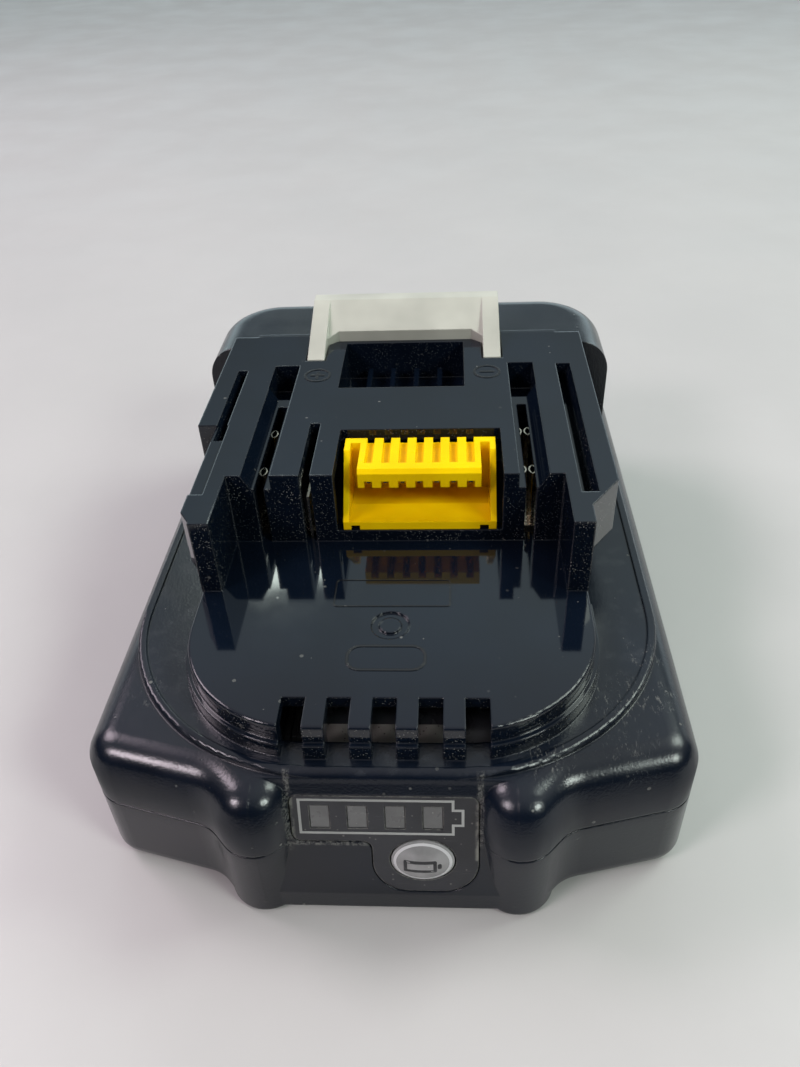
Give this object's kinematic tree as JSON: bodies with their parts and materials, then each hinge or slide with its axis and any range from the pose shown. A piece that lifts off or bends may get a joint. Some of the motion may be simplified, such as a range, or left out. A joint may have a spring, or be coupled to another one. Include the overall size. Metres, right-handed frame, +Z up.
{
  "type": "power tool battery pack",
  "caption": "Slide-on battery pack for cordless tools: black two-part case, rails and terminal slots on top, yellow signal connector, ivory spring latch, charge gauge with button.",
  "frame": {"origin": "middle of the footprint, on the surface that the pack stands on", "axes": "+X to the right seen from the gauge end, +Y from the gauge end to the latch end, +Z up"},
  "size_m": [0.0786, 0.113, 0.045],
  "materials": {
    "case_black": "satin black moulding, fine spark texture",
    "latch_ivory": "ivory moulding, soft gloss",
    "button_black": "satin dark grey",
    "spring_steel": "drawn wire",
    "screw_steel": "dark zinc",
    "cell_can": "dark shrink sleeve over a steel can",
    "insulator_paper": "pressed paper",
    "holder_plastic": "matt",
    "nickel": "plated strip",
    "board_green": "lacquered",
    "chip_black": "matt",
    "fuse_white": "ceramic",
    "terminal_plastic": "matt",
    "contact_tin": "tinned",
    "connector_yellow": "saturated yellow, soft gloss",
    "cover_black": "satin",
    "film_charcoal": "printed film",
    "window_grey": "translucent grey",
    "button_grey": "clear over grey",
    "lamp_white": "clear",
    "wire_black": "insulated wire",
    "foam_grey": "closed-cell foam"
  },
  "bodies": {
    "case": {"upper_case": "case_black", "lower_case": "case_black", "latch_spring_left": "spring_steel", "latch_spring_right": "spring_steel", "case_screws": "screw_steel", "cell_1": "cell_can", "cell_2": "cell_can", "cell_3": "cell_can", "cell_4": "cell_can", "cell_5": "cell_can", "cell_insulators": "insulator_paper", "cell_holder_left": "holder_plastic", "cell_holder_right": "holder_plastic", "link_minus": "nickel", "link_1_2": "nickel", "link_2_3": "nickel", "link_3_4": "nickel", "link_4_5": "nickel", "link_plus": "nickel", "main_board": "board_green", "board_parts": "chip_black", "board_screws": "screw_steel", "fuse": "fuse_white", "thermistor": "chip_black", "terminal_base": "terminal_plastic", "positive_contact": "contact_tin", "negative_contact": "contact_tin", "charge_contact": "contact_tin", "signal_connector": "connector_yellow", "signal_contacts": "contact_tin", "gauge_cover": "cover_black", "gauge_label": "film_charcoal", "light_guides": "window_grey", "gauge_board": "board_green", "gauge_lamps": "lamp_white", "gauge_switch": "chip_black", "gauge_wires": "wire_black", "foam_pads": "foam_grey"},
    "latch": {"latch_hook": "latch_ivory", "latch_button": "button_black"},
    "check_button": {"gauge_button": "button_grey", "switch_plunger": "chip_black"}
  },
  "joints": [
    {"name": "latch_press", "type": "slide", "parent": "case", "child": "latch", "axis": [0, 0, -1], "range_m": [0, 0.0052], "stiffness_N_per_m": 900, "springref_m": -0.004, "deforming": ["latch_spring_left", "latch_spring_right"]},
    {"name": "check_press", "type": "slide", "parent": "case", "child": "check_button", "axis": [0, 0.9738, -0.2272], "range_m": [0, 0.0004], "stiffness_N_per_m": 3000, "springref_m": -0.0002}
  ]
}
